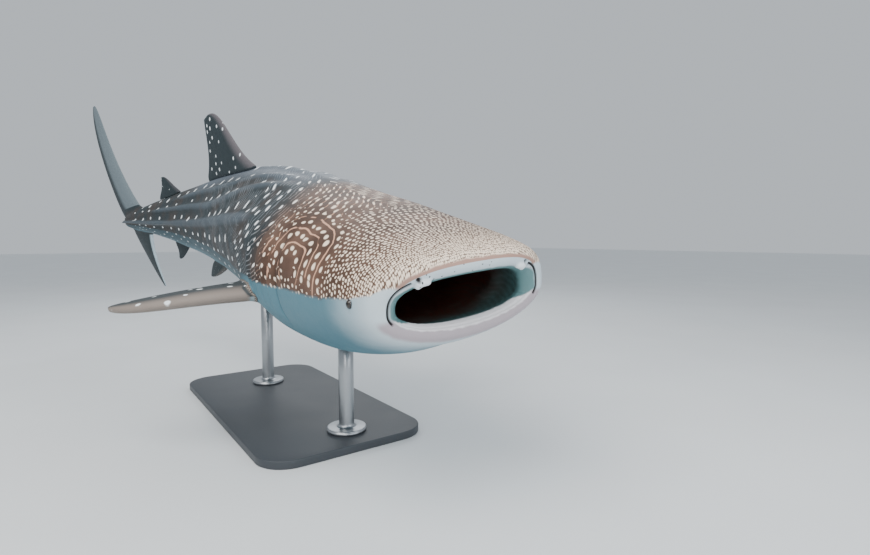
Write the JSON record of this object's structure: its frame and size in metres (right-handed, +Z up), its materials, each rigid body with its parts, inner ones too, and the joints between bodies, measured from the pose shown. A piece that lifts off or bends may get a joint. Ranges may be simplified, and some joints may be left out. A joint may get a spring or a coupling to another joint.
{
  "type": "whale shark",
  "caption": "Life-size whale shark display model, swimming with its mouth wide open and its tail swung aside, on a flat base with short rods.",
  "frame": {"origin": "centre of the stand base's underside, on the floor below the balance point", "axes": "+X towards the head, +Y to the shark's left, +Z up"},
  "size_m": [7.8263, 3.0252, 3.5892],
  "materials": {
    "head_skin": "satin painted skin, brown with cream spots",
    "pale_skin": "satin painted skin, pale blue-white",
    "body_skin": "satin painted skin, blue-grey with pale spots and lines",
    "fin_skin": "satin painted skin, dark blue-grey",
    "eye": "glossy dark globe",
    "stand_base": "fine matt dark paint",
    "stand_steel": "brushed steel"
  },
  "bodies": {
    "root": {"head": "head_skin", "lower_jaw": "pale_skin", "gill_section": "head_skin", "trunk_front": "body_skin", "trunk_rear": "body_skin", "tail_stalk": "body_skin", "dorsal_fin_first": "fin_skin", "dorsal_fin_second": "fin_skin", "pectoral_fin_left": "fin_skin", "pectoral_fin_right": "fin_skin", "pelvic_fin_left": "fin_skin", "pelvic_fin_right": "fin_skin", "anal_fin": "fin_skin", "caudal_fin_upper": "fin_skin", "caudal_fin_lower": "fin_skin", "eye_left": "eye", "eye_right": "eye", "stand_base": "stand_base", "stand_rod_front": "stand_steel", "stand_rod_rear": "stand_steel"}
  },
  "joints": []
}
